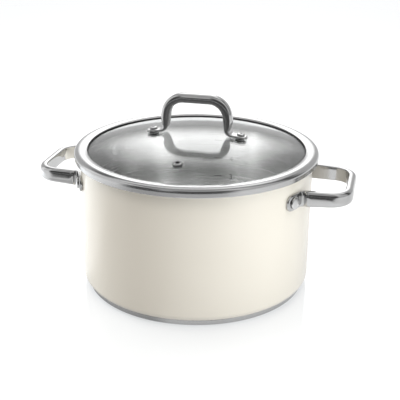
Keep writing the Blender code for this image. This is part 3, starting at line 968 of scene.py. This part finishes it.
def build_lid_handle(steel, satin, silicone):
    tab, loop = half_loop(
        seat_centre=DOME_CENTRE,
        seat_radius=DOME_RADIUS + foot_height(),
        tip=LID_TAB_TIP,
        foot_side=LID_FOOT,
        top_side=LID_TOP,
        bar=LID_BAR,
        bend=LID_BEND,
        corner=LID_CORNER,
    )
    out_is_up = Matrix(((0, 1, 0, 0), (0, 0, 1, 0), (1, 0, 0, 0), (0, 0, 0, 1)))
    handle = swept_handle(
        "top_handle",
        tab,
        loop,
        (LID_FOOT_HALF_WIDTH, LID_BAR_HALF_WIDTH),
        (LID_TAB_THICKNESS, LID_BAR_THICKNESS),
        (LID_SWELL, LID_SWELL),
        LID_FULLNESS,
        LID_EDGE,
        out_is_up,
    )
    ready(handle, "lid", steel, "polished_steel", "lid_handle")
    step = WASHER_THICKNESS + GAP
    washers = (
        ("upper", GAP, silicone, "grey_silicone"),
        ("lower", -GLASS_THICKNESS - step, silicone, "grey_silicone"),
        ("steel", -GLASS_THICKNESS - 2 * step, satin, "satin_steel"),
    )
    for side, azimuth in (("right", 0.0), ("left", math.pi)):
        seat = on_dome(azimuth, LID_RIVET_X)
        rivet = turned(f"handle_rivet_{side}", lid_rivet_outline(), SMALL_STEPS, seat)
        ready(rivet, "lid", steel, "polished_steel", f"lid_rivet_{side}")
        for name, bottom, material, slot in washers:
            outline = washer_outline(bottom, WASHER_THICKNESS, WASHER_BORE, WASHER_RADIUS)
            washer = turned(f"washer_{name}_{side}", outline, SMALL_STEPS, seat)
            ready(washer, "lid", material, slot, f"lid_washer_{name}_{side}")


def eyelet_outline():
    """The vent's flanged tube: a rolled flange over the glass and a flared one under it."""
    seat = 2 * GAP + VENT_GASKET_THICKNESS
    under = -GLASS_THICKNESS - GAP
    centre = ((VENT_BORE + VENT_FLANGE) / 2, seat + VENT_FLANGE_HEIGHT * 0.3)
    radii = ((VENT_FLANGE - VENT_BORE) / 2, VENT_FLANGE_HEIGHT * 0.7)
    crown = ellipse(centre, radii, 180, 0, 24)
    flare_radii = (VENT_FLANGE * 0.94 - VENT_BORE, VENT_FLANGE_HEIGHT * 0.8)
    flare = ellipse((VENT_BORE, under), flare_radii, 0, -90, 12)
    return crown + [(VENT_FLANGE, seat), (VENT_BARREL, seat), (VENT_BARREL, under)] + flare


def build_vent(steel, silicone):
    seat = on_dome(-math.pi / 2, VENT_Y)
    eyelet = turned("steam_vent", eyelet_outline(), SMALL_STEPS, seat)
    ready(eyelet, "lid", steel, "polished_steel", "vent_eyelet")
    outline = washer_outline(GAP, VENT_GASKET_THICKNESS, VENT_BARREL + GAP, VENT_FLANGE + GAP)
    ring = turned("steam_vent_gasket", outline, SMALL_STEPS, seat)
    ready(ring, "lid", silicone, "grey_silicone", "vent_gasket")


# ---- Floor, light and camera ----

FLOOR_RADIUS = 20.0
FLOOR_DROP = 0.0001
FLOOR_GREY = 0.25
FLOOR_GLOW = 0.57
FLOOR_GLOW_COLOUR = (0.96, 0.98, 1.0, 1.0)

# Shades on the floor that only reflections show: azimuth from the camera's side, half the width and
# its soft edge in degrees, the near and far distance from the axis and their soft edge, and the
# change of brightness.
FLOOR_SHADES = (
    ("front", -17, 36, 20, 0.44, 4.0, 0.05, -0.92),
    ("left_near", -50, 26, 14, 0.0, 0.33, 0.08, -0.4),
)

# Soft boxes of the studio, in degrees: azimuth from the camera's side, where plus is to the right,
# half the width and its soft edge, then the lower and upper elevation and their soft edge, and the
# brightness.
STUDIO_GREY = 0.09
SOFT_BOXES = (
    ("backdrop", 180, 7, 12, 23, 32, 14, 2.2),
    ("horizon", 180, 60, 20, -5, 28, 14, 0.55),
    ("back_high", 180, 60, 20, 54, 76, 10, 0.9),
    ("back_right_high", 150, 12, 12, 42, 58, 12, 0.7),
    ("left", -95, 20, 16, 0, 45, 16, 0.8),
    ("front_high", -10, 55, 20, 42, 66, 14, 0.45),
    ("front_strip", -28, 3, 7, 18, 32, 8, 0.55),
    ("right", 62, 18, 16, 10, 60, 16, 0.6),
    ("ceiling", 0, 180, 12, 80, 90, 10, 0.3),
)

# Lamps that no reflection shows: azimuth, elevation, distance, size, brightness and colour.
WHITE = (1.0, 1.0, 1.0)
WARM = (1.0, 0.96, 0.89)
COOL = (0.89, 0.95, 1.0)
LAMP_TARGET = Vector((0.0, 0.0, 0.07))
FILL_LAMPS = (
    ("over", 0, 89, 1.8, 2.4, 1.0, WARM),
    ("fill_left", -118, 10, 0.5, 0.3, 3.3, COOL),
    ("fill_right", 40, 10, 0.35, 0.25, 0.88, COOL),
)

# Lamps under the lid that light the brushed inside and show in its reflections: azimuth, distance
# from the axis, size, tilt towards the axis and brightness.
INNER_LAMPS = (
    ("inner_all", 0, 0.0, 0.21, 0, 0.04),
    ("inner_right", 62, 0.088, 0.02, 45, 9.0),
    ("inner_left", -97, 0.096, 0.02, 45, 13.0),
)
INNER_HEIGHT = 0.1335


def studio_direction(azimuth, elevation):
    """Unit vector to a place in the studio, for an azimuth measured from the camera's side."""
    turn = math.radians(azimuth) + VIEW_TURN
    level = math.cos(math.radians(elevation))
    return Vector((level * math.sin(turn), -level * math.cos(turn), math.sin(math.radians(elevation))))


def math_node(tree, operation, *values):
    """Output of a Math node fed with sockets or plain numbers."""
    node = tree.nodes.new("ShaderNodeMath")
    node.operation = operation
    for socket, value in zip(node.inputs, values):
        if isinstance(value, bpy.types.NodeSocket):
            tree.links.new(value, socket)
        else:
            socket.default_value = value
    return node.outputs[0]


def soft_span(tree, distance, half_width, edge):
    """One within half the width, and nothing beyond it and its soft edge, both in degrees."""
    return soft_range(tree, distance, math.radians(half_width), math.radians(edge))


def soft_range(tree, distance, half_width, edge):
    """One within half the width, and nothing beyond it and its soft edge."""
    node = tree.nodes.new("ShaderNodeMapRange")
    node.interpolation_type = "SMOOTHSTEP"
    node.inputs["From Min"].default_value = half_width + edge
    node.inputs["From Max"].default_value = half_width
    tree.links.new(distance, node.inputs["Value"])
    return node.outputs["Result"]


def view_azimuth(tree, coords):
    """Azimuth of a direction or place from the camera's side, and its separate coordinates."""
    turned_back = tree.nodes.new("ShaderNodeVectorRotate")
    turned_back.rotation_type = "Z_AXIS"
    turned_back.inputs["Angle"].default_value = -VIEW_TURN
    tree.links.new(coords, turned_back.inputs["Vector"])
    split = tree.nodes.new("ShaderNodeSeparateXYZ")
    tree.links.new(turned_back.outputs[0], split.inputs[0])
    toward = math_node(tree, "MULTIPLY", split.outputs["Y"], -1.0)
    return math_node(tree, "ARCTAN2", split.outputs["X"], toward), split


def turn_away(tree, azimuth, centre):
    """Angle in radians from a centre given in degrees, taken the short way round."""
    away = math_node(tree, "SUBTRACT", azimuth, math.radians(centre))
    return math_node(tree, "PINGPONG", math_node(tree, "ABSOLUTE", away), math.pi)


def build_studio():
    """Soft surrounding light: a grey room with soft boxes, as a function of direction."""
    world = bpy.data.worlds.new("studio")
    bpy.context.scene.world = world
    world.use_nodes = True
    tree = world.node_tree
    coords = tree.nodes.new("ShaderNodeTexCoord").outputs["Generated"]
    azimuth, split = view_azimuth(tree, coords)
    elevation = math_node(tree, "ARCSINE", split.outputs["Z"])
    total = STUDIO_GREY
    for name, centre, half_width, side_edge, low, high, edge, brightness in SOFT_BOXES:
        away = turn_away(tree, azimuth, centre)
        rise = math_node(tree, "SUBTRACT", elevation, math.radians((low + high) / 2))
        rise = math_node(tree, "ABSOLUTE", rise)
        across = soft_span(tree, away, half_width, side_edge)
        up = soft_span(tree, rise, (high - low) / 2, edge)
        glow = math_node(tree, "MULTIPLY", math_node(tree, "MULTIPLY", across, up), brightness)
        glow.node.label = name
        total = math_node(tree, "ADD", total, glow)
    background = tree.nodes["Background"]
    background.inputs["Color"].default_value = (1.0, 1.0, 1.0, 1.0)
    tree.links.new(total, background.inputs["Strength"])


def lamp(name, place, heading, shape, size, brightness, colour, glossy):
    """A lamp the camera doesn't see, pointing along a heading, with a brightness in white levels."""
    data = bpy.data.lights.new(name, "AREA")
    data.shape = shape
    data.size = size
    area = size * size if shape == "SQUARE" else math.pi * size * size / 4
    data.energy = brightness * math.pi * math.pi * area
    data.color = colour
    light = bpy.data.objects.new(name, data)
    light.location = place
    light.rotation_euler = heading.to_track_quat("-Z", "Y").to_euler()
    light.visible_camera = False
    light.visible_transmission = False
    light.visible_glossy = glossy
    bpy.context.scene.collection.objects.link(light)


def build_lamps():
    """Fill lamps outside the pot and small lamps under its lid."""
    for name, azimuth, elevation, distance, size, brightness, colour in FILL_LAMPS:
        away = studio_direction(azimuth, elevation)
        lamp(name, LAMP_TARGET + away * distance, -away, "SQUARE", size, brightness, colour, False)
    up = Vector((0.0, 0.0, 1.0))
    for name, azimuth, radius, size, tilt, brightness in INNER_LAMPS:
        outward = studio_direction(azimuth, 0)
        lean = math.radians(tilt)
        heading = -outward * math.sin(lean) - up * math.cos(lean)
        place = outward * radius + up * INNER_HEIGHT
        lamp(name, place, heading, "DISK", size, brightness, WHITE, True)


def build_floor():
    """Backlit pale acrylic table with a faint reflection, and shades on it for the pot to mirror."""
    shape = bmesh.new()
    bmesh.ops.create_circle(shape, cap_ends=True, segments=96, radius=FLOOR_RADIUS)
    floor = finish_mesh("floor", shape)
    floor.location.z = -FLOOR_DROP
    finish = Finish("pale_acrylic", roughness=0.10, ior=1.55, emission_color=FLOOR_GLOW_COLOUR)
    tree = finish.material.node_tree
    around = view_azimuth(tree, finish.coords)[0]
    length = tree.nodes.new("ShaderNodeVectorMath")
    length.operation = "LENGTH"
    tree.links.new(finish.coords, length.inputs[0])
    level = 1.0
    for name, centre, half_width, side_edge, near, far, edge, change in FLOOR_SHADES:
        across = soft_span(tree, turn_away(tree, around, centre), half_width, side_edge)
        middle = math_node(tree, "SUBTRACT", length.outputs["Value"], (near + far) / 2)
        out = soft_range(tree, math_node(tree, "ABSOLUTE", middle), (far - near) / 2, edge)
        shade = math_node(tree, "MULTIPLY", math_node(tree, "MULTIPLY", across, out), change)
        shade.node.label = name
        level = math_node(tree, "ADD", level, shade)
    mirrored = tree.nodes.new("ShaderNodeLightPath").outputs["Is Glossy Ray"]
    level = math_node(tree, "MAXIMUM", level, math_node(tree, "SUBTRACT", 1.0, mirrored))
    grey = math_node(tree, "MULTIPLY", level, FLOOR_GREY)
    tree.links.new(grey, finish.shader.inputs["Base Color"])
    glow = math_node(tree, "MULTIPLY", level, FLOOR_GLOW)
    tree.links.new(glow, finish.shader.inputs["Emission Strength"])
    floor.data.materials.append(finish.material)


def build_camera():
    """The photograph's viewpoint, at a height and distance round the Z axis from the front."""
    camera = bpy.data.objects.new("camera", bpy.data.cameras.new("camera"))
    camera.data.sensor_width = SENSOR
    camera.data.lens = SENSOR * LENS_PER_SENSOR
    place = Matrix.Rotation(VIEW_TURN, 4, "Z") @ Matrix.Translation((0.0, -VIEW_DISTANCE, VIEW_HEIGHT))
    aim = (
        Matrix.Rotation(VIEW_YAW, 4, "Z")
        @ Matrix.Rotation(math.pi / 2 - VIEW_PITCH, 4, "X")
        @ Matrix.Rotation(VIEW_ROLL, 4, "Z")
    )
    camera.matrix_world = Matrix.Translation(place.translation) @ aim
    bpy.context.scene.collection.objects.link(camera)
    bpy.context.scene.camera = camera


satin = satin_steel_finish("satin_steel", level=0.712)
# The base cap's steel is the satin steel made darker: painted shade for the contact shadow that the cap
# mirrors.
shaded_base_steel = satin_steel_finish("shaded_base_steel", level=0.50)
polished = polished_steel_finish("polished_steel", level=0.50, low=0.07, high=0.13)
# The wall rivets take a rougher and lighter copy of the polished steel. The rougher gloss is their own
# finish; the lighter tone is painted light on the heads.
lit_rivet_steel = polished_steel_finish("lit_rivet_steel", level=0.64, low=0.20, high=0.27)
rim_steel = band_steel_finish()
enamel = enamel_finish()
silicone = silicone_finish()

build_shell(satin, enamel)
build_base(shaded_base_steel, aluminium_finish())
build_wall_rivets(lit_rivet_steel)
build_side_handles(polished)
build_scale(etched_finish())
build_glass(glass_finish())
build_rim(rim_steel, silicone)
build_lid_handle(polished, satin, silicone)
build_vent(polished, silicone)

build_studio()
build_lamps()
build_floor()
build_camera()
bpy.context.scene.view_settings.view_transform = "Standard"
